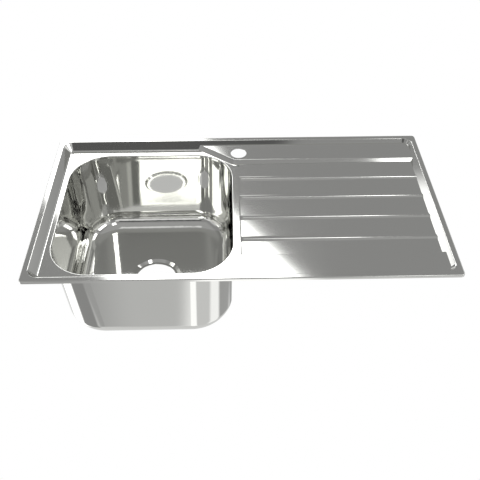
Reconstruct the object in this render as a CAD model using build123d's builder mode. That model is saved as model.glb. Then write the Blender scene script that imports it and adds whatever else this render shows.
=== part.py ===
from build123d import *
import os
from math import atan, degrees, radians, tan

# Inset kitchen sink: one bowl on the left, a ribbed drainboard on the right.
# Millimetres. z = 0 is the top of the worktop, x = y = 0 the middle of the cut-out,
# +X towards the drainboard, +Y towards the wall behind the sink.

# Sheet and rim
sink_length = 800.0
sink_width = 440.0
sheet = 1.0
rim_lift = 6.0
rim_corner_radius = 7.0
rim_edge_radius = 1.8
rim_flat = 11.0
rim_inner_fillet = 1.5

# Pressed recess inside the rim
recess_depth = 16.0
recess_run = 13.0
recess_corner_radius = 20.0
recess_foot_fillet = 4.0

# Raised ledges: the tap ledge behind and the landing in front of the drainboard
ledge_drop = 7.5
tap_ledge_run = 8.5
front_ledge_run = 6.0
ledge_fillet = 2.0
ledge_corner_radius = 14.0
tap_ledge_width = 63.0
tap_ledge_corner_x = -9.0
tap_ledge_angle = 36.6
front_ledge_width = 57.5
front_ledge_corner_x = -8.0
front_ledge_angle = 41.0
tap_hole_radius = 17.5
tap_hole_from_edge = 50.0

# Drainboard: flat strips that fall towards the bowl, parted by slanted ribs
drain_start_x = 0.2
drain_drop_left = 14.4
drain_drop_right = 13.4
rib_drop = 11.7
rib_count = 4
rib_pitch = 62.7
rib_shift_y = -7.25
rib_ramp = 9.0
rib_face = 4.5
rib_crest_fillet = 2.0
rib_foot_fillet = 3.0
rib_ramp_fillet = 10.0
drain_step_angle = 32.0

# Bowl
bowl_left_margin = 12.7
bowl_drain_margin = 16.7
bowl_back_margin = 20.0
bowl_front_margin = 8.0
bowl_corner_radius = 80.0
bowl_depth = 206.0
bowl_left_draft = 8.5
bowl_right_draft = 3.2
bowl_back_draft = 9.5
bowl_front_draft = 5.7
bowl_foot_corner_radius = 84.0
bowl_foot_fillet = 36.7
bowl_mouth_fillet = 2.0
collar_height = 6.0

# Waste outlet in the bowl's floor
waste_radius = 45.0
waste_seat_radius = 50.0
waste_recess_radius = 56.0
waste_recess_depth = 5.0
waste_shift_x = 3.0
waste_shift_y = -9.0

# Worktop cut-out that the sink drops into
cutout_margin = 10.0

# Foam strips under the rim
seal_clearance = 0.3
seal_joint_gap = 0.3

# Sound-deadening pads
bowl_pad_size = 210.0
bowl_pad_thickness = 2.5
bowl_pad_gap = 6.0
bowl_pad_corner_radius = 12.0
drainer_pad_side_gap = 16.0
drainer_pad_end_gap = 50.0
drainer_pad_thickness = 2.0
drainer_pad_corner_radius = 10.0

# Top-hat stiffeners under the drainboard
stiffener_sheet = 1.2
stiffener_hat_width = 26.0
stiffener_flange = 11.0
stiffener_height = 12.0
stiffener_end_gap = 10.0
stiffener_inset = 100.0

# Earthing tab behind the drainboard
earth_tab_from_end = 138.0
earth_tab_from_edge = 52.0
earth_tab_width = 14.0
earth_tab_flange = 12.0
earth_tab_leg = 17.0
earth_hole_radius = 2.6
earth_hole_from_end = 6.0

# Swing clamps: bracket, riveted arm, screw
clamp_end_inset = 22.0
clamp_side_inset = 30.0
clamp_middle_from_end = 240.0
bracket_width = 16.0
bracket_sheet = 1.6
bracket_back = 8.5
bracket_front = 7.5
bracket_foot_drop = 30.5
arm_reach = 36.0
arm_width = 13.0
arm_thickness = 2.5
arm_gap = 0.2
rivet_radius = 3.0
rivet_head_radius = 5.2
rivet_head_height = 1.8
screw_radius = 3.0
screw_head_radius = 5.0
screw_head_height = 2.8
screw_length = 14.4
screw_tip = 1.0
screw_slot_width = 1.2
screw_slot_depth = 1.2
running_clearance = 0.05

# Heights and places that follow from the sizes above
rim_top = rim_lift
recess_floor = rim_top - recess_depth
ledge_top = rim_top - ledge_drop
bowl_floor = rim_top - bowl_depth
bowl_joint = recess_floor - collar_height
recess_length = sink_length - 2 * rim_flat
recess_width = sink_width - 2 * rim_flat
recess_foot_radius = recess_corner_radius - recess_run
cutout_half_length = sink_length / 2 - cutout_margin
cutout_half_width = sink_width / 2 - cutout_margin
recess_foot_x = recess_length / 2 - recess_run
recess_foot_y = recess_width / 2 - recess_run
tap_ledge_front_y = recess_width / 2 - tap_ledge_width
front_ledge_back_y = front_ledge_width - recess_width / 2
tap_hole_y = sink_width / 2 - tap_hole_from_edge
rib_middle_y = (tap_ledge_front_y + front_ledge_back_y) / 2 + rib_shift_y
bowl_left_x = bowl_left_margin - recess_foot_x
bowl_right_x = drain_start_x - bowl_drain_margin
bowl_back_y = recess_foot_y - bowl_back_margin
bowl_front_y = bowl_front_margin - recess_foot_y
bowl_length = bowl_right_x - bowl_left_x
bowl_width = bowl_back_y - bowl_front_y
bowl_x = (bowl_left_x + bowl_right_x) / 2
bowl_y = (bowl_back_y + bowl_front_y) / 2
bowl_foot_length = bowl_length - bowl_left_draft - bowl_right_draft
bowl_foot_width = bowl_width - bowl_back_draft - bowl_front_draft
bowl_foot_x = bowl_x + (bowl_left_draft - bowl_right_draft) / 2
bowl_foot_y = bowl_y + (bowl_front_draft - bowl_back_draft) / 2
waste_x = bowl_x + waste_shift_x
waste_y = bowl_y + waste_shift_y
under_drain_back_y = tap_ledge_front_y - tap_ledge_run
under_drain_front_y = front_ledge_back_y + front_ledge_run
under_drain_y = (under_drain_back_y + under_drain_front_y) / 2
under_drain_width = under_drain_back_y - under_drain_front_y
beyond = 30.0

os.makedirs("parts", exist_ok=True)


def drain_height(x):
    # Top of a drain strip at a distance x along the board.
    share = (x - drain_start_x) / (recess_foot_x - drain_start_x)
    return rim_top - drain_drop_left + share * (drain_drop_left - drain_drop_right)


def rib_profile(strip_z, crest_z, bottom_z):
    # Cross-section of the drainboard, from the wall side to the front.
    edge_y = sink_width / 2
    points = [(edge_y, bottom_z), (edge_y, strip_z)]
    for number in range(rib_count):
        crest_y = rib_middle_y + rib_pitch * ((rib_count - 1) / 2 - number)
        points.append((crest_y + rib_ramp, strip_z))
        points.append((crest_y, crest_z))
        points.append((crest_y - rib_face, strip_z))
    points.append((-edge_y, strip_z))
    points.append((-edge_y, bottom_z))
    return points


# The recess as a solid, first its inside and then its outside
with BuildPart() as recess_inside:
    with BuildSketch(Plane.XY.offset(rim_top)):
        RectangleRounded(recess_length, recess_width, recess_corner_radius)
    with BuildSketch(Plane.XY.offset(recess_floor)):
        RectangleRounded(
            recess_length - 2 * recess_run, recess_width - 2 * recess_run, recess_foot_radius
        )
    loft(ruled=True)
    fillet(recess_inside.faces().sort_by(Axis.Z)[0].edges(), recess_foot_fillet)

with BuildPart() as recess_outside:
    with BuildSketch(Plane.XY.offset(rim_top)):
        RectangleRounded(
            recess_length + 2 * sheet, recess_width + 2 * sheet, recess_corner_radius + sheet
        )
    with BuildSketch(Plane.XY.offset(recess_floor - sheet)):
        RectangleRounded(
            recess_length - 2 * recess_run + 2 * sheet,
            recess_width - 2 * recess_run + 2 * sheet,
            recess_foot_radius + sheet,
        )
    loft(ruled=True)
    fillet(
        recess_outside.faces().sort_by(Axis.Z)[0].edges(), recess_foot_fillet + sheet
    )

# The two ledges as solids that stand on the recess floor
ledge_height = recess_depth - ledge_drop + 2 * sheet
tap_ledge_slope = degrees(atan(tap_ledge_run / (recess_depth - ledge_drop)))
front_ledge_slope = degrees(atan(front_ledge_run / (recess_depth - ledge_drop)))
ledge_far_x = sink_length / 2 + beyond
ledge_far_y = sink_width / 2 + beyond

with BuildPart() as tap_ledge:
    with BuildSketch(Plane.XY.offset(ledge_top)) as tap_ledge_top:
        slant = (ledge_far_y - tap_ledge_front_y) / tan(radians(tap_ledge_angle))
        with BuildLine():
            Polyline(
                (tap_ledge_corner_x, tap_ledge_front_y),
                (ledge_far_x, tap_ledge_front_y),
                (ledge_far_x, ledge_far_y),
                (tap_ledge_corner_x - slant, ledge_far_y),
                close=True,
            )
        make_face()
        corner = tap_ledge_top.vertices().sort_by_distance(
            (tap_ledge_corner_x, tap_ledge_front_y, ledge_top)
        )[0]
        fillet(corner, ledge_corner_radius)
    extrude(amount=-ledge_height, taper=-tap_ledge_slope)
    fillet(tap_ledge.faces().sort_by(Axis.Z)[-1].edges(), ledge_fillet)

with BuildPart() as front_ledge:
    with BuildSketch(Plane.XY.offset(ledge_top)) as front_ledge_top:
        slant = (ledge_far_y + front_ledge_back_y) / tan(radians(front_ledge_angle))
        with BuildLine():
            Polyline(
                (front_ledge_corner_x, front_ledge_back_y),
                (ledge_far_x, front_ledge_back_y),
                (ledge_far_x, -ledge_far_y),
                (front_ledge_corner_x - slant, -ledge_far_y),
                close=True,
            )
        make_face()
        corner = front_ledge_top.vertices().sort_by_distance(
            (front_ledge_corner_x, front_ledge_back_y, ledge_top)
        )[0]
        fillet(corner, ledge_corner_radius)
    extrude(amount=-ledge_height, taper=-front_ledge_slope)
    fillet(front_ledge.faces().sort_by(Axis.Z)[-1].edges(), ledge_fillet)

# The drainboard as a solid: ribs of one height over strips that fall to the bowl
drain_bottom = recess_floor - 3 * sheet
rib_crest_z = rim_top - rib_drop
drain_far_x = recess_length / 2
with BuildPart() as drain_form:
    for end_x in (drain_start_x - recess_run, drain_far_x):
        with BuildSketch(Plane.YZ.offset(end_x)):
            with BuildLine():
                Polyline(
                    *rib_profile(drain_height(end_x), rib_crest_z, drain_bottom),
                    close=True,
                )
            make_face()
    loft(ruled=True)
    fillet(drain_form.edges().group_by(Axis.Z)[-1], rib_crest_fillet)
    strip_middle_z = drain_height((drain_start_x - recess_run + drain_far_x) / 2)
    for first, radius in ((1, rib_foot_fillet), (2, rib_ramp_fillet)):
        strip_edges = drain_form.edges().filter_by_position(
            Axis.Z, strip_middle_z - sheet / 20, strip_middle_z + sheet / 20
        )
        fillet(strip_edges.sort_by(Axis.Y)[first:-1:2], radius)
    step_foot_x = drain_start_x - (recess_depth - drain_drop_left) / tan(
        radians(drain_step_angle)
    )
    step_rise = recess_depth
    step_run = step_rise / tan(radians(drain_step_angle))
    foot_sink = 4 * sheet
    foot_run = foot_sink / tan(radians(drain_step_angle))
    with BuildSketch(Plane.XZ):
        with BuildLine():
            Polyline(
                (step_foot_x - foot_run, recess_floor - foot_sink),
                (step_foot_x + step_run, recess_floor + step_rise),
                (-sink_length / 2, recess_floor + step_rise),
                (-sink_length / 2, recess_floor - foot_sink),
                close=True,
            )
        make_face()
    extrude(amount=sink_width, both=True, mode=Mode.SUBTRACT)

# The room above the pressed sheet, and the same form one sheet lower and wider
with BuildPart() as upper_room:
    add(recess_inside.part)
    add(tap_ledge.part, mode=Mode.SUBTRACT)
    add(front_ledge.part, mode=Mode.SUBTRACT)
    add(drain_form.part, mode=Mode.SUBTRACT)

one_sheet_down = Location((0, 0, -sheet))
with BuildPart() as pressed_block:
    add(recess_outside.part)
    add(tap_ledge.part.moved(one_sheet_down), mode=Mode.SUBTRACT)
    add(front_ledge.part.moved(one_sheet_down), mode=Mode.SUBTRACT)
    add(drain_form.part.moved(one_sheet_down), mode=Mode.SUBTRACT)

# Deck: the pressed top with its turned-down rim, the recess and the mouth of the bowl
with BuildPart() as deck:
    with BuildSketch():
        RectangleRounded(sink_length, sink_width, rim_corner_radius)
    extrude(amount=rim_top)
    fillet(deck.faces().sort_by(Axis.Z)[-1].edges(), rim_edge_radius)
    with BuildSketch():
        RectangleRounded(
            sink_length - 2 * sheet, sink_width - 2 * sheet, rim_corner_radius - sheet
        )
    extrude(amount=rim_top - sheet, mode=Mode.SUBTRACT)
    add(pressed_block.part)
    with BuildSketch(Plane.XY.offset(bowl_joint)):
        with Locations((bowl_x, bowl_y)):
            RectangleRounded(
                bowl_length + 2 * sheet, bowl_width + 2 * sheet, bowl_corner_radius + sheet
            )
    extrude(amount=collar_height)
    add(upper_room.part, mode=Mode.SUBTRACT)
    with BuildSketch(Plane.XY.offset(bowl_joint)):
        with Locations((bowl_x, bowl_y)):
            RectangleRounded(bowl_length, bowl_width, bowl_corner_radius)
    extrude(amount=recess_depth + collar_height, mode=Mode.SUBTRACT)
    with Locations((0, tap_hole_y, ledge_top)):
        Hole(tap_hole_radius, depth=2 * sheet)
    level_faces = deck.faces().filter_by(Plane.XY)
    recess_face = level_faces.filter_by_position(
        Axis.Z, recess_floor - sheet / 4, recess_floor + sheet / 4
    ).sort_by(SortBy.AREA)[-1]
    fillet(recess_face.inner_wires()[0].edges(), bowl_mouth_fillet)
    rim_face = deck.faces().sort_by(Axis.Z)[-1]
    fillet(rim_face.inner_wires()[0].edges(), rim_inner_fillet)

deck.part.label = "deck"
export_step(deck.part, "parts/deck.step")

# Bowl: drawn shell with a recessed seat for the waste, welded under the deck's collar
with BuildPart() as bowl_inside:
    with BuildSketch(Plane.XY.offset(bowl_joint)):
        with Locations((bowl_x, bowl_y)):
            RectangleRounded(bowl_length, bowl_width, bowl_corner_radius)
    with BuildSketch(Plane.XY.offset(bowl_floor)):
        with Locations((bowl_foot_x, bowl_foot_y)):
            RectangleRounded(bowl_foot_length, bowl_foot_width, bowl_foot_corner_radius)
    loft(ruled=True)
    fillet(bowl_inside.faces().sort_by(Axis.Z)[0].edges(), bowl_foot_fillet)
    with BuildSketch(Plane.XY.offset(bowl_floor)):
        with Locations((waste_x, waste_y)):
            Circle(waste_recess_radius)
    with BuildSketch(Plane.XY.offset(bowl_floor - waste_recess_depth)):
        with Locations((waste_x, waste_y)):
            Circle(waste_seat_radius)
    loft()

with BuildPart() as bowl:
    with BuildSketch(Plane.XY.offset(bowl_joint)):
        with Locations((bowl_x, bowl_y)):
            RectangleRounded(
                bowl_length + 2 * sheet, bowl_width + 2 * sheet, bowl_corner_radius + sheet
            )
    with BuildSketch(Plane.XY.offset(bowl_floor - sheet)):
        with Locations((bowl_foot_x, bowl_foot_y)):
            RectangleRounded(
                bowl_foot_length + 2 * sheet,
                bowl_foot_width + 2 * sheet,
                bowl_foot_corner_radius + sheet,
            )
    loft(ruled=True)
    fillet(bowl.faces().sort_by(Axis.Z)[0].edges(), bowl_foot_fillet + sheet)
    with BuildSketch(Plane.XY.offset(bowl_floor)):
        with Locations((waste_x, waste_y)):
            Circle(waste_recess_radius + sheet)
    with BuildSketch(Plane.XY.offset(bowl_floor - waste_recess_depth - sheet)):
        with Locations((waste_x, waste_y)):
            Circle(waste_seat_radius + sheet)
    loft()
    add(bowl_inside.part, mode=Mode.SUBTRACT)
    with Locations((waste_x, waste_y, bowl_floor - waste_recess_depth)):
        Hole(waste_radius, depth=2 * sheet)

bowl.part.label = "bowl"
export_step(bowl.part, "parts/bowl.step")

# Foam strips that fill the rim all round, cut to length and butted at the corners
seal_outer_x = sink_length / 2 - sheet - seal_clearance
seal_outer_y = sink_width / 2 - sheet - seal_clearance
seal_inner_x = recess_length / 2 + sheet + seal_clearance
seal_inner_y = recess_width / 2 + sheet + seal_clearance
seal_corner_radius = rim_corner_radius - sheet - seal_clearance
seal_thickness = rim_top - sheet

with BuildPart() as rim_seal:
    for side in (-1, 1):
        with BuildSketch() as long_strip:
            with Locations((0, side * (seal_outer_y + seal_inner_y) / 2)):
                Rectangle(2 * seal_outer_x, seal_outer_y - seal_inner_y)
            outer_edge = long_strip.edges().sort_by_distance((0, side * sink_width))[0]
            fillet(outer_edge.vertices(), seal_corner_radius)
        extrude(amount=seal_thickness)
        with BuildSketch():
            with Locations((side * (seal_outer_x + seal_inner_x) / 2, 0)):
                Rectangle(seal_outer_x - seal_inner_x, 2 * (seal_inner_y - seal_joint_gap))
        extrude(amount=seal_thickness)

rim_seal.part.label = "rim_seal"
export_step(rim_seal.part, "parts/rim_seal.step")

# Sound-deadening pad under the bowl, open round the waste recess
with BuildPart() as bowl_pad:
    with BuildSketch(Plane.XY.offset(bowl_floor - sheet)):
        with Locations((bowl_x, bowl_y)):
            RectangleRounded(bowl_pad_size, bowl_pad_size, bowl_pad_corner_radius)
        with Locations((waste_x, waste_y)):
            Circle(waste_recess_radius + sheet + bowl_pad_gap, mode=Mode.SUBTRACT)
    extrude(amount=-bowl_pad_thickness)

bowl_pad.part.label = "bowl_pad"
export_step(bowl_pad.part, "parts/bowl_pad.step")

# Sound-deadening pad under the drainboard, midway between the stiffeners
stiffener_xs = (drain_start_x + stiffener_inset, recess_foot_x - stiffener_inset)
hat_half = stiffener_hat_width / 2
flange_half = hat_half + stiffener_flange
drainer_pad_x = sum(stiffener_xs) / len(stiffener_xs)
drainer_pad_length = stiffener_xs[1] - stiffener_xs[0] - 2 * flange_half - 2 * drainer_pad_side_gap
drainer_pad_top = drain_height(drainer_pad_x - drainer_pad_length / 2) - sheet
drainer_pad_width = under_drain_width - 2 * drainer_pad_end_gap

with BuildPart() as drainer_pad:
    with BuildSketch(Plane.XY.offset(drainer_pad_top)):
        with Locations((drainer_pad_x, under_drain_y)):
            RectangleRounded(drainer_pad_length, drainer_pad_width, drainer_pad_corner_radius)
    extrude(amount=-drainer_pad_thickness)

drainer_pad.part.label = "drainer_pad"
export_step(drainer_pad.part, "parts/drainer_pad.step")

# Top-hat stiffeners, welded across the underside of the drainboard
hat_inner = hat_half - stiffener_sheet
stiffener_length = under_drain_width - 2 * stiffener_end_gap

with BuildPart() as drainer_stiffeners:
    for stiffener_x in stiffener_xs:
        hat_top = drain_height(stiffener_x - flange_half) - sheet
        hat_bottom = hat_top - stiffener_height
        across = Plane(origin=(stiffener_x, under_drain_y, 0), x_dir=(1, 0, 0), z_dir=(0, -1, 0))
        with BuildSketch(across):
            with BuildLine():
                Polyline(
                    (-flange_half, hat_top),
                    (-hat_inner, hat_top),
                    (-hat_inner, hat_bottom + stiffener_sheet),
                    (hat_inner, hat_bottom + stiffener_sheet),
                    (hat_inner, hat_top),
                    (flange_half, hat_top),
                    (flange_half, hat_top - stiffener_sheet),
                    (hat_half, hat_top - stiffener_sheet),
                    (hat_half, hat_bottom),
                    (-hat_half, hat_bottom),
                    (-hat_half, hat_top - stiffener_sheet),
                    (-flange_half, hat_top - stiffener_sheet),
                    close=True,
                )
            make_face()
        extrude(amount=stiffener_length / 2, both=True)

drainer_stiffeners.part.label = "drainer_stiffeners"
export_step(drainer_stiffeners.part, "parts/drainer_stiffeners.step")

# Earthing tab, spot-welded under the tap ledge
tab_top = ledge_top - sheet
tab_foot = tab_top - earth_tab_leg
earth_tab_x = sink_length / 2 - earth_tab_from_end
earth_tab_y = sink_width / 2 - earth_tab_from_edge

with BuildPart() as earth_tab:
    with BuildSketch(Plane.YZ.offset(earth_tab_x)):
        with BuildLine():
            Polyline(
                (earth_tab_y, tab_top),
                (earth_tab_y + earth_tab_flange, tab_top),
                (earth_tab_y + earth_tab_flange, tab_top - sheet),
                (earth_tab_y + sheet, tab_top - sheet),
                (earth_tab_y + sheet, tab_foot),
                (earth_tab_y, tab_foot),
                close=True,
            )
        make_face()
    extrude(amount=earth_tab_width / 2, both=True)
    with BuildSketch(Plane.XZ.offset(-earth_tab_y - sheet)):
        with Locations((earth_tab_x, tab_foot + earth_hole_from_end)):
            Circle(earth_hole_radius)
    extrude(amount=2 * sheet, both=True, mode=Mode.SUBTRACT)

earth_tab.part.label = "earth_tab"
export_step(earth_tab.part, "parts/earth_tab.step")

# Swing clamps. Each arm is parked along the edge and swings out under the worktop.
corner_x = cutout_half_length - clamp_end_inset
middle_x = cutout_half_length - clamp_middle_from_end
side_y = cutout_half_width - clamp_side_inset
under_recess = recess_floor - sheet
under_ledge = ledge_top - sheet
left, right, back, front = (-1, 0, 0), (1, 0, 0), (0, 1, 0), (0, -1, 0)
clamps = {
    "back_left": ((-corner_x, side_y), front, left, under_recess),
    "back_middle": ((middle_x, side_y), right, back, under_ledge),
    "back_right": ((corner_x, side_y), front, right, under_ledge),
    "front_left": ((-corner_x, -side_y), back, left, under_recess),
    "front_middle": ((middle_x, -side_y), right, front, under_ledge),
    "front_right": ((corner_x, -side_y), back, right, under_ledge),
}
foot_z = -bracket_foot_drop
arm_top = foot_z - arm_gap
arm_bottom = arm_top - arm_thickness
head_top = arm_bottom - arm_gap

with BuildPart() as clamp_brackets:
    for (pivot_x, pivot_y), parked, outward, top_z in clamps.values():
        along = Vector(*outward).cross(Vector(0, 0, 1))
        across = Plane(origin=(pivot_x, pivot_y, 0), x_dir=outward, z_dir=along)
        with BuildSketch(across):
            with BuildLine():
                Polyline(
                    (-bracket_back, top_z),
                    (bracket_front, top_z),
                    (bracket_front, top_z - bracket_sheet),
                    (-bracket_back + bracket_sheet, top_z - bracket_sheet),
                    (-bracket_back + bracket_sheet, foot_z + bracket_sheet),
                    (bracket_front, foot_z + bracket_sheet),
                    (bracket_front, foot_z),
                    (-bracket_back, foot_z),
                    close=True,
                )
            make_face()
        extrude(amount=bracket_width / 2, both=True)
        with BuildSketch(Plane.XY.offset(foot_z)):
            with Locations((pivot_x, pivot_y)):
                Circle(rivet_radius + running_clearance)
        extrude(amount=bracket_sheet, mode=Mode.SUBTRACT)

clamp_brackets.part.label = "clamp_brackets"
export_step(clamp_brackets.part, "parts/clamp_brackets.step")

with BuildPart() as clamp_rivets:
    for (pivot_x, pivot_y), parked, outward, top_z in clamps.values():
        with BuildSketch(Plane.XY.offset(foot_z + bracket_sheet)):
            with Locations((pivot_x, pivot_y)):
                Circle(rivet_head_radius)
        extrude(amount=rivet_head_height)
        with BuildSketch(Plane.XY.offset(foot_z + bracket_sheet)):
            with Locations((pivot_x, pivot_y)):
                Circle(rivet_radius)
        extrude(amount=head_top - foot_z - bracket_sheet)
        with BuildSketch(Plane.XY.offset(head_top)):
            with Locations((pivot_x, pivot_y)):
                Circle(rivet_head_radius)
        extrude(amount=-rivet_head_height)

clamp_rivets.part.label = "clamp_rivets"
export_step(clamp_rivets.part, "parts/clamp_rivets.step")

for place, ((pivot_x, pivot_y), parked, outward, top_z) in clamps.items():
    screw_x = pivot_x + arm_reach * parked[0]
    screw_y = pivot_y + arm_reach * parked[1]
    with BuildPart() as clamp_arm:
        with BuildSketch(Plane.XY.offset(arm_top)):
            with Locations(((pivot_x + screw_x) / 2, (pivot_y + screw_y) / 2)):
                SlotCenterToCenter(arm_reach, arm_width, rotation=90 * abs(parked[1]))
            with Locations((pivot_x, pivot_y)):
                Circle(rivet_radius + running_clearance, mode=Mode.SUBTRACT)
            with Locations((screw_x, screw_y)):
                Circle(screw_radius + running_clearance, mode=Mode.SUBTRACT)
        extrude(amount=-arm_thickness)
    clamp_arm.part.label = f"clamp_arm_{place}"
    export_step(clamp_arm.part, f"parts/clamp_arm_{place}.step")

    with BuildPart() as clamp_screw:
        with BuildSketch(Plane.XY.offset(head_top)):
            with Locations((screw_x, screw_y)):
                Circle(screw_head_radius)
        extrude(amount=-screw_head_height)
        with BuildSketch(Plane.XY.offset(head_top)):
            with Locations((screw_x, screw_y)):
                Circle(screw_radius)
        extrude(amount=screw_length)
        chamfer(clamp_screw.faces().sort_by(Axis.Z)[-1].edges(), screw_tip)
        with BuildSketch(Plane.XY.offset(head_top - screw_head_height)):
            with Locations((screw_x, screw_y)):
                Rectangle(2 * screw_head_radius, screw_slot_width)
        extrude(amount=screw_slot_depth, mode=Mode.SUBTRACT)
    clamp_screw.part.label = f"clamp_screw_{place}"
    export_step(clamp_screw.part, f"parts/clamp_screw_{place}.step")
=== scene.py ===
import math
import random

import bmesh
import bpy
from mathutils import Matrix, Vector


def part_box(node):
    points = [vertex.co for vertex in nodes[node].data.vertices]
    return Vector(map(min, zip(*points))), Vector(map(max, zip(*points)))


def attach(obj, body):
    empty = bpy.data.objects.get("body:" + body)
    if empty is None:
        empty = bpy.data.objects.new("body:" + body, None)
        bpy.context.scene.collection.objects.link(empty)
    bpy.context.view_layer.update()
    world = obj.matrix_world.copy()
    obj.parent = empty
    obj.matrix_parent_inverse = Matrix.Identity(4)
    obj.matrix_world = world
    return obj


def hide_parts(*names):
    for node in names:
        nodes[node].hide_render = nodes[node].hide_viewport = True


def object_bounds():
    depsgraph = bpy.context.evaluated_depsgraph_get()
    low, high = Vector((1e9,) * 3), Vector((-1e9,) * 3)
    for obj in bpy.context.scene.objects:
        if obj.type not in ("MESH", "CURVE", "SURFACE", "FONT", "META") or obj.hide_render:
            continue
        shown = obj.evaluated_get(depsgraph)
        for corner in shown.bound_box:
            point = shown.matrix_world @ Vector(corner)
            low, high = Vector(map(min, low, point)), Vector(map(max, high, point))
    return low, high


# Inset kitchen sink: deck with drainboard, drawn bowl, foam strips, pads and swing clamps.
# Metres, z = 0 on the worktop, +X towards the drainboard, +Y towards the wall.

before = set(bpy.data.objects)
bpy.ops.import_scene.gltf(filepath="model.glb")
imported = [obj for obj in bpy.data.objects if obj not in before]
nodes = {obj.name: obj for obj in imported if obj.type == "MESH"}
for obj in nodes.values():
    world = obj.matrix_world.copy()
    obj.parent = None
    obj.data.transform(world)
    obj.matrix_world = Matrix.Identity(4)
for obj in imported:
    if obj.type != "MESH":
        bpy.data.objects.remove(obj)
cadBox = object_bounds()
print("frame loaded:", len(nodes), "nodes")

scene = bpy.context.scene
scene.view_settings.view_transform = "Standard"
scene.view_settings.look = "None"

# A product shot from the front, 43 degrees above the worktop
cameraView = {
    "place": (-0.023667, -1.03744, 0.867211),
    "right": (0.99976, -0.021884, 0.000472),
    "up": (0.014626, 0.683943, 0.729388),
    "back": (-0.016285, -0.729207, 0.6841),
    "lens": 49.87,
    "sensor": 36.0,
}


def placeCamera(view):
    data = bpy.data.cameras.new("productCamera")
    data.sensor_width = view["sensor"]
    data.lens = view["lens"]
    camera = bpy.data.objects.new("productCamera", data)
    turn = Matrix((view["right"], view["up"], view["back"])).transposed().to_4x4()
    turn.translation = Vector(view["place"])
    camera.matrix_world = turn
    scene.collection.objects.link(camera)
    scene.camera = camera


placeCamera(cameraView)
print("camera placed")


def addNode(tree, kind, place=(0, 0), **settings):
    node = tree.nodes.new(kind)
    node.location = place
    for key, value in settings.items():
        setattr(node, key, value)
    return node


def addMath(tree, operation, first, second=None, place=(0, 0), clamp=False):
    node = addNode(tree, "ShaderNodeMath", place, operation=operation, use_clamp=clamp)
    for socket, value in zip(node.inputs, (first, second)):
        if isinstance(value, bpy.types.NodeSocket):
            tree.links.new(value, socket)
        elif value is not None:
            socket.default_value = value
    return node.outputs[0]


def startGroup(name, inputs, outputs):
    # inputs and outputs: (socket name, socket kind, default)
    group = bpy.data.node_groups.new(name, "ShaderNodeTree")
    for label, kind, default in inputs:
        socket = group.interface.new_socket(name=label, in_out="INPUT", socket_type=kind)
        if default is not None:
            socket.default_value = default
    for label, kind in outputs:
        group.interface.new_socket(name=label, in_out="OUTPUT", socket_type=kind)
    entry = addNode(group, "NodeGroupInput", (-1200, 0))
    leave = addNode(group, "NodeGroupOutput", (900, 0))
    return group, entry.outputs, leave.inputs


def placeGroup(tree, group, place, **values):
    node = addNode(tree, "ShaderNodeGroup", place, node_tree=group)
    for key, value in values.items():
        node.inputs[key].default_value = value
    return node


def makeSoftBoxGroup():
    # One soft-edged rectangle of light in the sky, laid over whatever light came before it
    horizonGuard = 0.02  # keeps the box in front, and its edges finite
    value, vector = "NodeSocketFloat", "NodeSocketVector"
    group, given, result = startGroup(
        "softBox",
        [
            ("Base", value, 0.0), ("Level", value, 1.0), ("Direction", vector, None),
            ("Axis", vector, None), ("Across", vector, None), ("Upward", vector, None),
            ("Centre U", value, 0.0), ("Centre V", value, 0.0),
            ("Half U", value, 0.3), ("Half V", value, 0.3), ("Soft", value, 0.1),
        ],
        [("Light", value)],
    )

    def dotWith(name, place):
        node = addNode(group, "ShaderNodeVectorMath", place, operation="DOT_PRODUCT")
        group.links.new(given["Direction"], node.inputs[0])
        group.links.new(given[name], node.inputs[1])
        return node.outputs["Value"]

    ahead = dotWith("Axis", (-900, 300))
    depth = addMath(group, "MAXIMUM", ahead, horizonGuard, (-700, 300))
    inside = addMath(group, "GREATER_THAN", ahead, horizonGuard, (-700, 450))
    for name, centre, half, y in (
        ("Across", "Centre U", "Half U", 0), ("Upward", "Centre V", "Half V", -300),
    ):
        offset = addMath(group, "DIVIDE", dotWith(name, (-900, y)), depth, (-500, y))
        offset = addMath(group, "SUBTRACT", offset, given[centre], (-350, y))
        offset = addMath(group, "ABSOLUTE", offset, None, (-200, y))
        fade = addNode(
            group, "ShaderNodeMapRange", (0, y), interpolation_type="SMOOTHSTEP", clamp=True
        )
        outer = addMath(group, "ADD", given[half], given["Soft"], (-200, y - 150))
        group.links.new(offset, fade.inputs["Value"])
        group.links.new(given[half], fade.inputs["From Min"])
        group.links.new(outer, fade.inputs["From Max"])
        fade.inputs["To Min"].default_value = 1.0
        fade.inputs["To Max"].default_value = 0.0
        inside = addMath(group, "MULTIPLY", inside, fade.outputs[0], (250, y + 200))
    change = addMath(group, "SUBTRACT", given["Level"], given["Base"], (400, 300))
    change = addMath(group, "MULTIPLY", change, inside, (550, 300))
    group.links.new(addMath(group, "ADD", given["Base"], change, (700, 300)), result["Light"])
    return group


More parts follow.
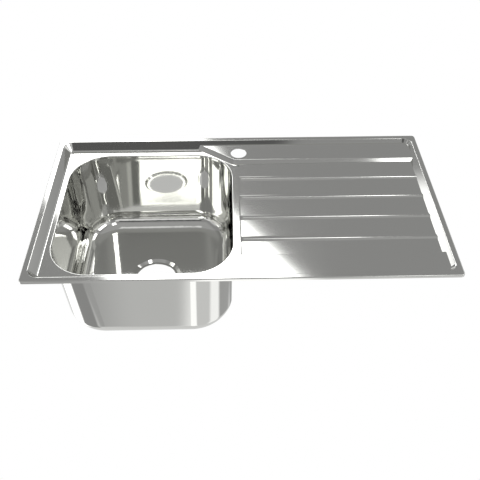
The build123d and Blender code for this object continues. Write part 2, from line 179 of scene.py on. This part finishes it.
# Soft boxes all round, mirrored by the steel. Bearing is clockwise from the wall behind the
# sink and height above the horizon, both in degrees. Wide and high are half sizes and soft is
# the width of the edge, in degrees too. Later boxes lie over earlier ones.
studio = {
    "base": 0.37,
    "boxes": [
        {"bearing": 0, "height": 90, "wide": 30, "high": 30, "soft": 15, "level": 0.48},
        {"bearing": 0, "height": -90, "wide": 84, "high": 84, "soft": 4, "level": 0.5},
        {"bearing": 0, "height": -90, "wide": 30, "high": 30, "soft": 6, "level": 0.9},
        {"bearing": 146, "height": -48, "wide": 14, "high": 12, "soft": 8, "level": 0.85},
        {"bearing": 110, "height": -48, "wide": 6, "high": 12, "soft": 7, "level": 1.4},
        {"bearing": 8, "height": -48, "wide": 8, "high": 12, "soft": 6, "level": 1.3},
        {"bearing": -30, "height": -48, "wide": 10, "high": 12, "soft": 6, "level": 0.95},
        {"bearing": -77, "height": -48, "wide": 13, "high": 12, "soft": 7, "level": 2.0},
        {"bearing": -118, "height": -48, "wide": 12, "high": 12, "soft": 5, "level": 0.37},
        {"bearing": -172, "height": -50, "wide": 3, "high": 9, "soft": 5, "level": 0.7},
        {"bearing": -170, "height": -31, "wide": 9, "high": 7, "soft": 3, "level": 0.76},
        {"bearing": 177, "height": -50, "wide": 4, "high": 11, "soft": 2.5, "level": 1.6},
        {"bearing": -56, "height": 3, "wide": 14, "high": 6, "soft": 3, "level": 2.2},
        {"bearing": -10, "height": 13, "wide": 8, "high": 12, "soft": 4, "level": 1.05},
        {"bearing": 41, "height": 18, "wide": 5, "high": 6, "soft": 7, "level": 0.72},
        {"bearing": 105, "height": 20, "wide": 46, "high": 9, "soft": 6, "level": 1.2},
        {"bearing": -112, "height": 20, "wide": 48, "high": 8, "soft": 6, "level": 1.2},
        {"bearing": 178, "height": 33, "wide": 13, "high": 6, "soft": 4, "level": 1.0},
        {"bearing": -172, "height": 43, "wide": 10, "high": 3, "soft": 2, "level": 0.13},
        {"bearing": 152, "height": 47, "wide": 4, "high": 2, "soft": 3, "level": 1.2},
        {"bearing": 151, "height": 54, "wide": 3, "high": 4, "soft": 3, "level": 5.0},
        {"bearing": 111, "height": 38, "wide": 12, "high": 4, "soft": 4, "level": 5.0},
        {"bearing": 40, "height": 38, "wide": 6, "high": 4, "soft": 3, "level": 1.1},
        {"bearing": 66, "height": 38, "wide": 12, "high": 5, "soft": 4, "level": 0.65},
        {"bearing": 134, "height": 38, "wide": 5, "high": 5, "soft": 4, "level": 0.7},
        {"bearing": -112, "height": 32, "wide": 8, "high": 5, "soft": 4, "level": 0.7},
        {"bearing": -75, "height": 83, "wide": 4, "high": 3, "soft": 3, "level": 1.0},
    ],
    # A long strip on a ceiling one metre above the sink, a second one that widens its middle,
    # and a dimmer patch where that begins. Middles and half sizes are in metres on the ceiling.
    "stripAcross": (0.83, 0.56, 0.0),
    "stripAlong": (-0.56, 0.83, 0.0),
    "strips": [
        {"across": 0.49, "along": 2.34, "wide": 0.13, "long": 1.66, "soft": 0.05, "level": 5.4},
        {"across": 0.6, "along": 2.1, "wide": 0.14, "long": 0.95, "soft": 0.03, "level": 5.4},
        {
            "across": 0.575, "along": 1.145, "wide": 0.06, "long": 0.04, "soft": 0.035,
            "level": 1.5,
        },
    ],
    "strength": 0.86,  # of the boxes and strips together
    "seenWhite": 1.0,  # what the camera sees behind the sink
}


def makeStudio(values):
    world = bpy.data.worlds.new("studio")
    scene.world = world
    world.use_nodes = True
    tree = world.node_tree
    tree.nodes.clear()
    group = makeSoftBoxGroup()
    direction = addNode(tree, "ShaderNodeTexCoord", (-2400, 0)).outputs["Generated"]
    light = None
    x = -2100

    def chain(settings):
        nonlocal light, x
        box = placeGroup(tree, group, (x, 0), **settings)
        tree.links.new(direction, box.inputs["Direction"])
        if light is None:
            box.inputs["Base"].default_value = values["base"]
        else:
            tree.links.new(light, box.inputs["Base"])
        light = box.outputs["Light"]
        x += 200

    for box in values["boxes"]:
        bearing, height = math.radians(box["bearing"]), math.radians(box["height"])
        axis = Vector((
            math.sin(bearing) * math.cos(height),
            math.cos(bearing) * math.cos(height),
            math.sin(height),
        ))
        across = Vector((math.cos(bearing), -math.sin(bearing), 0.0))
        upward = across.cross(axis)
        half = math.radians(box["wide"]), math.radians(box["high"])
        chain({
            "Level": box["level"], "Axis": axis, "Across": across, "Upward": upward,
            "Half U": math.tan(half[0]), "Half V": math.tan(half[1]),
            "Soft": math.tan(math.radians(box["soft"])),
        })
    for strip in values["strips"]:
        chain({
            "Level": strip["level"], "Axis": (0.0, 0.0, 1.0),
            "Across": values["stripAcross"], "Upward": values["stripAlong"],
            "Centre U": strip["across"], "Centre V": strip["along"],
            "Half U": strip["wide"], "Half V": strip["long"], "Soft": strip["soft"],
        })

    lit = addNode(tree, "ShaderNodeBackground", (x, 0))
    tree.links.new(light, lit.inputs["Color"])
    lit.inputs["Strength"].default_value = values["strength"]
    seen = addNode(tree, "ShaderNodeBackground", (x, -200))
    seen.inputs["Color"].default_value = (1.0, 1.0, 1.0, 1.0)
    seen.inputs["Strength"].default_value = values["seenWhite"]
    path = addNode(tree, "ShaderNodeLightPath", (x, 400))
    mix = addNode(tree, "ShaderNodeMixShader", (x + 250, 0))
    out = addNode(tree, "ShaderNodeOutputWorld", (x + 450, 0))
    tree.links.new(path.outputs["Is Camera Ray"], mix.inputs[0])
    tree.links.new(lit.outputs[0], mix.inputs[1])
    tree.links.new(seen.outputs[0], mix.inputs[2])
    tree.links.new(mix.outputs[0], out.inputs["Surface"])


makeStudio(studio)

# A pale sheet just under the bowl, white to the camera and clear from below
floorSheet = {"size": 14.0, "gap": 0.0004, "colour": (0.9, 0.9, 0.9, 1.0), "glow": 1.0}


def makeFloor(values):
    mesh = bpy.data.meshes.new("studioFloor")
    half = values["size"] / 2
    z = cadBox[0][2] - values["gap"]
    corners = [(-half, -half, z), (half, -half, z), (half, half, z), (-half, half, z)]
    mesh.from_pydata(corners, [], [(0, 1, 2, 3)])
    floor = bpy.data.objects.new("studioFloor", mesh)
    scene.collection.objects.link(floor)
    material = bpy.data.materials.new("paleFloor")
    material.use_nodes = True
    tree = material.node_tree
    tree.nodes.clear()
    diffuse = addNode(tree, "ShaderNodeBsdfDiffuse", (0, 0))
    diffuse.inputs["Color"].default_value = values["colour"]
    glow = addNode(tree, "ShaderNodeEmission", (0, -200))
    glow.inputs["Color"].default_value = (1.0, 1.0, 1.0, 1.0)
    glow.inputs["Strength"].default_value = values["glow"]
    path = addNode(tree, "ShaderNodeLightPath", (-200, 300))
    clear = addNode(tree, "ShaderNodeBsdfTransparent", (200, -300))
    side = addNode(tree, "ShaderNodeNewGeometry", (200, 300))
    mix = addNode(tree, "ShaderNodeMixShader", (200, 0))
    faces = addNode(tree, "ShaderNodeMixShader", (400, 0))
    out = addNode(tree, "ShaderNodeOutputMaterial", (600, 0))
    tree.links.new(path.outputs["Is Camera Ray"], mix.inputs[0])
    tree.links.new(diffuse.outputs[0], mix.inputs[1])
    tree.links.new(glow.outputs[0], mix.inputs[2])
    tree.links.new(side.outputs["Backfacing"], faces.inputs[0])
    tree.links.new(mix.outputs[0], faces.inputs[1])
    tree.links.new(clear.outputs[0], faces.inputs[2])
    tree.links.new(faces.outputs[0], out.inputs["Surface"])
    mesh.materials.append(material)
    floor.visible_glossy = False


makeFloor(floorSheet)
print("studio lit")


def makeSheetGrain():
    # Rolling marks: fine streaks along one direction, over broad faint clouds
    value, vector = "NodeSocketFloat", "NodeSocketVector"
    group, given, result = startGroup(
        "sheetGrain",
        [
            ("Stretch", vector, (30.0, 900.0, 900.0)), ("Cloud Scale", value, 9.0),
            ("Shade Spread", value, 0.03), ("Roughness Base", value, 0.1),
            ("Roughness Spread", value, 0.03),
        ],
        [("Shade", value), ("Roughness", value), ("Height", value)],
    )
    place = addNode(group, "ShaderNodeTexCoord", (-1200, 300)).outputs["Object"]
    scale = addNode(group, "ShaderNodeVectorMath", (-1000, 200), operation="MULTIPLY")
    group.links.new(place, scale.inputs[0])
    group.links.new(given["Stretch"], scale.inputs[1])
    streak = addNode(group, "ShaderNodeTexNoise", (-800, 200))
    streak.inputs["Scale"].default_value = 1.0
    streak.inputs["Detail"].default_value = 2.0
    group.links.new(scale.outputs[0], streak.inputs["Vector"])
    cloud = addNode(group, "ShaderNodeTexNoise", (-800, -100))
    cloud.inputs["Detail"].default_value = 3.0
    group.links.new(place, cloud.inputs["Vector"])
    group.links.new(given["Cloud Scale"], cloud.inputs["Scale"])
    both = addMath(group, "ADD", streak.outputs["Fac"], cloud.outputs["Fac"], (-500, 0))
    both = addMath(group, "SUBTRACT", both, 1.0, (-350, 0))  # two noises around a half each
    shade = addMath(group, "MULTIPLY", both, given["Shade Spread"], (-200, 200))
    group.links.new(addMath(group, "ADD", shade, 1.0, (0, 200)), result["Shade"])
    rough = addMath(group, "MULTIPLY", both, given["Roughness Spread"], (-200, -100))
    rough = addMath(group, "ADD", rough, given["Roughness Base"], (0, -100), clamp=True)
    group.links.new(rough, result["Roughness"])
    group.links.new(streak.outputs["Fac"], result["Height"])
    return group


def makeSpangle():
    # Crystals of a zinc coat: small cells, each a little lighter or darker
    value = "NodeSocketFloat"
    group, given, result = startGroup(
        "zincSpangle",
        [
            ("Cell Scale", value, 260.0), ("Shade Spread", value, 0.2),
            ("Roughness Base", value, 0.35), ("Roughness Spread", value, 0.2),
        ],
        [("Shade", value), ("Roughness", value), ("Height", value)],
    )
    place = addNode(group, "ShaderNodeTexCoord", (-1200, 200)).outputs["Object"]
    cells = addNode(group, "ShaderNodeTexVoronoi", (-900, 200))
    group.links.new(place, cells.inputs["Vector"])
    group.links.new(given["Cell Scale"], cells.inputs["Scale"])
    shades = addNode(group, "ShaderNodeSeparateColor", (-700, 200))
    group.links.new(cells.outputs["Color"], shades.inputs[0])
    shift = addMath(group, "SUBTRACT", shades.outputs[0], 0.5, (-500, 200))
    shade = addMath(group, "MULTIPLY", shift, given["Shade Spread"], (-300, 200))
    group.links.new(addMath(group, "ADD", shade, 1.0, (-100, 200)), result["Shade"])
    shift = addMath(group, "SUBTRACT", shades.outputs[1], 0.5, (-500, -100))
    rough = addMath(group, "MULTIPLY", shift, given["Roughness Spread"], (-300, -100))
    rough = addMath(group, "ADD", rough, given["Roughness Base"], (-100, -100), clamp=True)
    group.links.new(rough, result["Roughness"])
    group.links.new(cells.outputs["Distance"], result["Height"])
    return group


def makePoresWithPaintedShade():
    # Open cells of foam, or the fine crumb of a moulded rubber, by their size and depth, with
    # painted shade that darkens the pore hollows
    meanDepth = 0.9  # where the shade stays as it is
    value = "NodeSocketFloat"
    group, given, result = startGroup(
        "poresWithPaintedShade",
        [("Pore Scale", value, 1500.0), ("Shade Spread", value, 0.5)],
        [("Shade", value), ("Height", value)],
    )
    place = addNode(group, "ShaderNodeTexCoord", (-1200, 200)).outputs["Object"]
    pores = addNode(group, "ShaderNodeTexVoronoi", (-900, 200), feature="SMOOTH_F1")
    crumb = addNode(group, "ShaderNodeTexNoise", (-900, -100))
    crumb.inputs["Detail"].default_value = 4.0
    for texture in (pores, crumb):
        group.links.new(place, texture.inputs["Vector"])
        group.links.new(given["Pore Scale"], texture.inputs["Scale"])
    depth = addMath(group, "ADD", pores.outputs["Distance"], crumb.outputs["Fac"], (-600, 100))
    group.links.new(depth, result["Height"])
    # Painted shade: the colour darkens where the pores sink and lightens on the raised cell
    # walls, in step with the bump height
    shift = addMath(group, "SUBTRACT", depth, meanDepth, (-400, 100))
    shade = addMath(group, "MULTIPLY", shift, given["Shade Spread"], (-200, 100))
    group.links.new(addMath(group, "ADD", shade, 1.0, (0, 100)), result["Shade"])
    return group


def makeHandling():
    # Where hands and tools have been: soft patches, from 0 untouched to 1 rubbed
    value = "NodeSocketFloat"
    group, given, result = startGroup(
        "handlingMarks",
        [("Patch Scale", value, 20.0), ("Start", value, 0.55), ("End", value, 0.75)],
        [("Mask", value)],
    )
    place = addNode(group, "ShaderNodeTexCoord", (-1200, 200)).outputs["Object"]
    patches = addNode(group, "ShaderNodeTexNoise", (-900, 200))
    patches.inputs["Detail"].default_value = 5.0
    patches.inputs["Roughness"].default_value = 0.6
    group.links.new(place, patches.inputs["Vector"])
    group.links.new(given["Patch Scale"], patches.inputs["Scale"])
    fade = addNode(group, "ShaderNodeMapRange", (-500, 200), interpolation_type="SMOOTHSTEP")
    group.links.new(patches.outputs["Fac"], fade.inputs["Value"])
    group.links.new(given["Start"], fade.inputs["From Min"])
    group.links.new(given["End"], fade.inputs["From Max"])
    group.links.new(fade.outputs[0], result["Mask"])
    return group


sheetGrain = makeSheetGrain()
zincSpangle = makeSpangle()
poresWithPaintedShade = makePoresWithPaintedShade()
handlingMarks = makeHandling()

# Each finish places one shared effect with its own values. Rubbed patches scale the shade and
# add to the roughness.
finishes = {
    "polishedDeck": {
        "effect": sheetGrain, "metal": 1.0, "colour": (0.72, 0.722, 0.698), "bump": 0.0,
        "values": {
            "Stretch": (40.0, 1500.0, 1500.0), "Shade Spread": 0.02,
            "Roughness Base": 0.07, "Roughness Spread": 0.02,
        },
        "rubbed": {"patch": 14.0, "start": 0.6, "end": 0.8, "shade": 0.99, "roughness": 0.01},
    },
    "polishedBowl": {
        "effect": sheetGrain, "metal": 1.0, "colour": (0.72, 0.722, 0.698), "bump": 0.0,
        "values": {
            "Stretch": (1200.0, 1200.0, 40.0), "Shade Spread": 0.02,
            "Roughness Base": 0.06, "Roughness Spread": 0.02,
        },
        "rubbed": {"patch": 14.0, "start": 0.6, "end": 0.8, "shade": 0.99, "roughness": 0.01},
    },
    "millSteel": {
        "effect": sheetGrain, "metal": 1.0, "colour": (0.6, 0.605, 0.6), "bump": 0.00002,
        "values": {
            "Stretch": (900.0, 30.0, 900.0), "Shade Spread": 0.12,
            "Roughness Base": 0.34, "Roughness Spread": 0.12,
        },
        "rubbed": {"patch": 30.0, "start": 0.5, "end": 0.7, "shade": 0.85, "roughness": 0.1},
    },
    "platedZinc": {
        "effect": zincSpangle, "metal": 1.0, "colour": (0.66, 0.68, 0.7), "bump": 0.00001,
        "values": {
            "Cell Scale": 420.0, "Shade Spread": 0.16,
            "Roughness Base": 0.3, "Roughness Spread": 0.14,
        },
        "rubbed": {"patch": 45.0, "start": 0.5, "end": 0.7, "shade": 0.82, "roughness": 0.12},
    },
    "brightScrew": {
        "effect": zincSpangle, "metal": 1.0, "colour": (0.74, 0.74, 0.71), "bump": 0.000005,
        "values": {
            "Cell Scale": 900.0, "Shade Spread": 0.1,
            "Roughness Base": 0.22, "Roughness Spread": 0.1,
        },
        "rubbed": {"patch": 90.0, "start": 0.5, "end": 0.68, "shade": 0.8, "roughness": 0.15},
    },
    # In the foam and the rubber, Shade Spread sets how strong the painted shade in the pore
    # hollows is
    "sealFoam": {
        "effect": poresWithPaintedShade, "metal": 0.0, "colour": (0.045, 0.046, 0.048), "bump": 0.0002,
        "roughness": 0.92, "values": {"Pore Scale": 1400.0, "Shade Spread": 0.9},
        "rubbed": {"patch": 60.0, "start": 0.5, "end": 0.75, "shade": 1.5, "roughness": 0.0},
    },
    "padRubber": {
        "effect": poresWithPaintedShade, "metal": 0.0, "colour": (0.035, 0.035, 0.037), "bump": 0.00006,
        "roughness": 0.62, "values": {"Pore Scale": 2600.0, "Shade Spread": 0.4},
        "rubbed": {"patch": 25.0, "start": 0.5, "end": 0.72, "shade": 1.9, "roughness": 0.12},
    },
}


def makeFinish(name, values):
    material = bpy.data.materials.new(name)
    material.use_nodes = True
    tree = material.node_tree
    shader = tree.nodes["Principled BSDF"]
    shader.inputs["Metallic"].default_value = values["metal"]
    effect = placeGroup(tree, values["effect"], (-1100, 100), **values["values"])
    rubbed = values["rubbed"]
    marks = placeGroup(
        tree, handlingMarks, (-1100, -300),
        **{"Patch Scale": rubbed["patch"], "Start": rubbed["start"], "End": rubbed["end"]},
    )
    change = addMath(tree, "MULTIPLY", marks.outputs["Mask"], rubbed["shade"] - 1, (-850, 300))
    change = addMath(tree, "ADD", change, 1.0, (-700, 300))
    shade = addMath(tree, "MULTIPLY", effect.outputs["Shade"], change, (-550, 300))
    tint = addNode(tree, "ShaderNodeVectorMath", (-350, 200), operation="SCALE")
    tint.inputs[0].default_value = values["colour"]
    tree.links.new(shade, tint.inputs["Scale"])
    tree.links.new(tint.outputs[0], shader.inputs["Base Color"])
    rise = addMath(tree, "MULTIPLY", marks.outputs["Mask"], rubbed["roughness"], (-850, -300))
    base = effect.outputs["Roughness"] if "Roughness" in effect.outputs else values["roughness"]
    rough = addMath(tree, "ADD", rise, base, (-550, -200), clamp=True)
    tree.links.new(rough, shader.inputs["Roughness"])
    if values["bump"]:
        bump = addNode(tree, "ShaderNodeBump", (-300, -350))
        bump.inputs["Distance"].default_value = values["bump"]
        tree.links.new(effect.outputs["Height"], bump.inputs["Height"])
        tree.links.new(bump.outputs[0], shader.inputs["Normal"])
    return material


materials = {name: makeFinish(name, values) for name, values in finishes.items()}
print("finishes made:", len(materials))


# CAD nodes that keep their own mesh: finish, and how far the edges are eased in metres
clampPlaces = [
    side + "_" + end for side in ("back", "front") for end in ("left", "middle", "right")
]
keptNodes = {
    "deck": {"finish": "polishedDeck", "edge": None},
    "bowl": {"finish": "polishedBowl", "edge": None},
    "drainer_stiffeners": {"finish": "millSteel", "edge": 0.0003},
    "earth_tab": {"finish": "millSteel", "edge": 0.0002},
    "clamp_brackets": {"finish": "platedZinc", "edge": 0.00035},
    "clamp_rivets": {"finish": "platedZinc", "edge": 0.0007},
}
for place in clampPlaces:
    keptNodes["clamp_arm_" + place] = {"finish": "platedZinc", "edge": 0.00035}
edgeRounding = {"segments": 3, "limitDegrees": 35.0, "mergeDistance": 0.00001}


def roundEdges(part, width, values):
    join = part.modifiers.new("join", "WELD")
    join.merge_threshold = values["mergeDistance"]
    rounding = part.modifiers.new("rounding", "BEVEL")
    rounding.width = width
    rounding.segments = values["segments"]
    rounding.limit_method = "ANGLE"
    rounding.angle_limit = math.radians(values["limitDegrees"])
    rounding.harden_normals = True


for name, values in keptNodes.items():
    for slot in nodes[name].material_slots:
        slot.material = materials[values["finish"]]
    if values["edge"]:
        roundEdges(nodes[name], values["edge"], edgeRounding)
print("kept nodes finished:", len(keptNodes))


def addPiece(name, mesh, finish, body, stands=()):
    mesh.materials.clear()
    mesh.materials.append(materials[finish])
    piece = bpy.data.objects.new(name, mesh)
    scene.collection.objects.link(piece)
    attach(piece, body)
    for node in stands:
        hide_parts(node)
    return piece


def meshFrom(name, build, smooth=True):
    mesh = bpy.data.meshes.new(name)
    work = bmesh.new()
    build(work)
    bmesh.ops.recalc_face_normals(work, faces=work.faces)
    work.to_mesh(mesh)
    work.free()
    for face in mesh.polygons:
        face.use_smooth = smooth
    return mesh


def joinRings(work, rings):
    # Rings are lists of vertices of one length; the first and the last get caps
    count = len(rings[0])
    for low, high in zip(rings, rings[1:]):
        for index in range(count):
            after = (index + 1) % count
            work.faces.new((low[index], low[after], high[after], high[index]))
    work.faces.new(list(reversed(rings[0])))
    work.faces.new(rings[-1])


# Foam strips under the rim, butted at the corners, with slightly crumpled skins
foamStrips = {
    "outerX": 0.3987, "outerY": 0.2187, "innerX": 0.3903, "innerY": 0.2103,
    "jointGap": 0.0003, "low": 0.0, "high": 0.005, "endRadius": 0.0057,
    "edgeRadius": 0.0009, "edgeSteps": 4, "step": 0.004, "crumple": 0.00012, "seed": 11,
    "endShares": (0.05, 0.15, 0.3, 0.5, 0.75, 1.0),  # rings along a rounded end
}


def stripRing(inner, outer, low, high, radius, steps):
    # Cross-section of a strip as (across, up) points, with rounded edges
    points = []
    corners = (
        (outer - radius, high - radius, 0), (inner + radius, high - radius, 90),
        (inner + radius, low + radius, 180), (outer - radius, low + radius, 270),
    )
    for across, up, start in corners:
        for step in range(steps + 1):
            angle = math.radians(start + 90 * step / steps)
            points.append((across + radius * math.cos(angle), up + radius * math.sin(angle)))
    return points


def buildStrip(work, half, inner, outer, toWorld, endRadius, values, draw):
    # The strip runs from -half to half; its outer corners are rounded off at the ends
    along = [-half]
    fine = [endRadius * share for share in values["endShares"]]
    along += [-half + distance for distance in fine] if endRadius else []
    start = along[-1]
    count = int(-2 * start / values["step"])
    along += [start - 2 * start * number / count for number in range(1, count)]
    along += [-place for place in reversed(along[:len(fine) + 1 if endRadius else 1])]
    narrowest = inner + 3 * values["edgeRadius"]
    middle = (inner + outer) / 2, (values["low"] + values["high"]) / 2
    rings = []
    for place in along:
        distance = half - abs(place)
        recess = 0.0
        if distance < endRadius:
            short = endRadius - distance
            recess = endRadius - math.sqrt(endRadius ** 2 - short ** 2)
        profile = stripRing(
            inner, max(outer - recess, narrowest), values["low"], values["high"],
            values["edgeRadius"], values["edgeSteps"],
        )
        ring = []
        for across, up in profile:
            pull = draw.random() * values["crumple"] * 2 / (outer - inner)
            across += (middle[0] - across) * pull
            up += (middle[1] - up) * pull
            ring.append(work.verts.new(toWorld(place, across, up)))
        rings.append(ring)
    joinRings(work, rings)


def buildFoam(work):
    values = foamStrips
    draw = random.Random(values["seed"])
    for side in (-1, 1):
        buildStrip(
            work, values["outerX"], values["innerY"], values["outerY"],
            lambda place, across, up: (place, side * across, up),
            values["endRadius"], values, draw,
        )
        buildStrip(
            work, values["innerY"] - values["jointGap"], values["innerX"], values["outerX"],
            lambda place, across, up: (side * across, place, up),
            0.0, values, draw,
        )


foam = addPiece(
    "rimFoam", meshFrom("rimFoam", buildFoam), "sealFoam", "sink", ("rim_seal",)
)
print("foam strips made")


# Sound-deadening pads: the cut sheet, with rows of six-sided studs pressed into it
padStuds = {
    "pitch": 0.0085, "foot": 0.0056, "top": 0.0042, "rise": 0.0005, "margin": 0.005, "sides": 6,
    "bite": 0.0002,  # how far a stud starts inside the pad
    "mergeDistance": 0.00001,
}
pads = {
    "bowlPad": {"node": "bowl_pad", "radius": 0.012, "hole": (-0.1869, -0.015, 0.063)},
    "drainerPad": {"node": "drainer_pad", "radius": 0.01, "hole": None},
}


def insidePad(x, y, low, high, pad, margin):
    # True where a stud at x, y is clear of the pad's edge, round corners and hole
    if not (low.x + margin < x < high.x - margin and low.y + margin < y < high.y - margin):
        return False
    radius = pad["radius"]
    nearX = min(max(x, low.x + radius), high.x - radius)
    nearY = min(max(y, low.y + radius), high.y - radius)
    if math.hypot(x - nearX, y - nearY) > radius - margin:
        return False
    if pad["hole"]:
        holeX, holeY, holeRadius = pad["hole"]
        return math.hypot(x - holeX, y - holeY) > holeRadius + margin
    return True


def buildPad(work, pad, studs):
    node = nodes[pad["node"]]
    work.from_mesh(node.data)
    bmesh.ops.remove_doubles(work, verts=work.verts, dist=studs["mergeDistance"])
    low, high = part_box(pad["node"])
    middleX, middleY = (low.x + high.x) / 2, (low.y + high.y) / 2
    reach = int((high.y - low.y) / studs["pitch"]) + 1
    for row in range(-reach, reach + 1):
        for column in range(-reach, reach + 1):
            x = middleX + column * studs["pitch"] + (row % 2) * studs["pitch"] / 2
            y = middleY + row * studs["pitch"] * math.sqrt(3) / 2
            if not insidePad(x, y, low, high, pad, studs["margin"]):
                continue
            rings = []
            for width, z in (
                (studs["foot"], low.z + studs["bite"]), (studs["foot"], low.z),
                (studs["top"], low.z - studs["rise"]),
            ):
                ring = []
                for corner in range(studs["sides"]):
                    angle = math.radians(360 / studs["sides"] * (corner + 0.5))
                    ring.append(work.verts.new((
                        x + width / 2 * math.cos(angle), y + width / 2 * math.sin(angle), z
                    )))
                rings.append(ring)
            joinRings(work, rings)


for name, pad in pads.items():
    mesh = meshFrom(name, lambda work: buildPad(work, pad, padStuds), smooth=False)
    addPiece(name, mesh, "padRubber", "sink", (pad["node"],))
print("pads made")


# Spot welds along the stiffeners' flanges
spotWelds = {
    "flangeOffset": 0.0185, "sheet": 0.0012, "perFlange": 7, "endInset": 0.014, "segments": 20,
    # (radius, depth below the flange) from the middle out
    "profile": [
        (0.0008, 0.00004), (0.0019, 0.00005), (0.0023, 0.00022), (0.0029, 0.00026),
        (0.0034, 0.00004), (0.0036, -0.00005),
    ],
}


def buildSpots(work):
    values = spotWelds
    verts = [vertex.co for vertex in nodes["drainer_stiffeners"].data.vertices]
    low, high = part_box("drainer_stiffeners")
    middle = (low.x + high.x) / 2
    for half in (
        [co for co in verts if co.x < middle], [co for co in verts if co.x > middle],
    ):
        centre = (min(co.x for co in half) + max(co.x for co in half)) / 2
        under = max(co.z for co in half) - values["sheet"]
        first, last = low.y + values["endInset"], high.y - values["endInset"]
        for side in (-1, 1):
            for number in range(values["perFlange"]):
                x = centre + side * values["flangeOffset"]
                y = first + (last - first) * number / (values["perFlange"] - 1)
                rings = []
                for radius, depth in values["profile"]:
                    ring = []
                    for segment in range(values["segments"]):
                        angle = 2 * math.pi * segment / values["segments"]
                        ring.append(work.verts.new((
                            x + radius * math.cos(angle), y + radius * math.sin(angle),
                            under - depth,
                        )))
                    rings.append(ring)
                joinRings(work, rings)


addPiece("spotWelds", meshFrom("spotWelds", buildSpots), "millSteel", "sink")
print("spot welds made")


# Clamp screws: rolled thread, slotted cheese head
clampScrew = {
    "crest": 0.003, "root": 0.00255, "pitch": 0.001, "chamfer": 0.001, "headHeight": 0.0028,
    "headRadius": 0.005, "headEdge": 0.0006, "slotWidth": 0.0012, "slotDepth": 0.0012,
    "segments": 32, "stepsPerTurn": 8, "neck": 0.0006, "creaseDegrees": 50.0,
    "bite": 0.0002,  # how far the shank starts inside the head
    "crestFlat": 1.25,  # 1 is a round crest, more is a flatter one
    "edgeStep": 0.3,  # where the head's rounded edge has its middle ring
    "slotFlare": 0.3,  # how much the slot opens as that edge rounds off
}


def screwRadius(turn, values):
    # Rolled thread: flat-topped crest over a rounded root, by the share of one turn
    wave = 0.5 - 0.5 * math.cos(2 * math.pi * turn)
    share = min(1.0, wave * values["crestFlat"])
    return values["root"] + (values["crest"] - values["root"]) * share


def buildScrew(work, low, high, values):
    middleX, middleY = (low.x + high.x) / 2, (low.y + high.y) / 2
    segments = values["segments"]

    def ringAt(z, radiusAt):
        ring = []
        for segment in range(segments):
            angle = 2 * math.pi * segment / segments
            radius = radiusAt(angle)
            ring.append(work.verts.new((
                middleX + radius * math.cos(angle), middleY + radius * math.sin(angle), z
            )))
        return ring

    headTop = low.z + values["headHeight"]
    rings = [ringAt(headTop - values["bite"], lambda angle: values["root"])]
    rings.append(ringAt(headTop + values["neck"] / 2, lambda angle: values["root"]))
    stepHeight = values["pitch"] / values["stepsPerTurn"]
    start, end = headTop + values["neck"], high.z
    count = int((end - start) / stepHeight)
    for number in range(count + 1):
        z = start + (end - start) * number / count
        runIn = min(1.0, (z - start) / values["pitch"])
        cap = values["crest"] - max(0.0, values["chamfer"] - (end - z))

        def radiusAt(angle):
            turn = (z - start) / values["pitch"] - angle / (2 * math.pi)
            radius = screwRadius(turn, values)
            radius = values["root"] + (radius - values["root"]) * runIn
            return min(radius, cap)

        rings.append(ringAt(z, radiusAt))
    joinRings(work, rings)

    # The head is two half discs over a base, which leaves the slot between them
    edge = values["headEdge"]
    slotZ = low.z + values["slotDepth"]
    base = [
        ringAt(headTop, lambda angle: values["headRadius"]),
        ringAt(slotZ, lambda angle: values["headRadius"]),
    ]
    joinRings(work, base)
    halfSlot = values["slotWidth"] / 2
    middle = edge * values["edgeStep"]
    for side in (-1, 1):
        layers = []
        for z, inset in (
            (slotZ, 0.0), (low.z + edge, 0.0), (low.z + middle, middle), (low.z, edge),
        ):
            radius = values["headRadius"] - inset
            begin = math.asin((halfSlot + inset * values["slotFlare"]) / radius)
            layer = []
            for step in range(segments // 2 + 1):
                angle = begin + (math.pi - 2 * begin) * step / (segments // 2)
                layer.append(work.verts.new((
                    middleX + radius * math.cos(angle),
                    middleY + side * radius * math.sin(angle), z,
                )))
            layers.append(layer)
        joinRings(work, layers)


for place in clampPlaces:
    node = "clamp_screw_" + place
    low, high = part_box(node)
    mesh = meshFrom("screw_" + place, lambda work: buildScrew(work, low, high, clampScrew))
    piece = addPiece(
        "threadedScrew_" + place, mesh, "brightScrew", "screw_" + place, (node,)
    )
    crease = piece.modifiers.new("crease", "EDGE_SPLIT")
    crease.split_angle = math.radians(clampScrew["creaseDegrees"])
print("screws made:", len(clampPlaces))
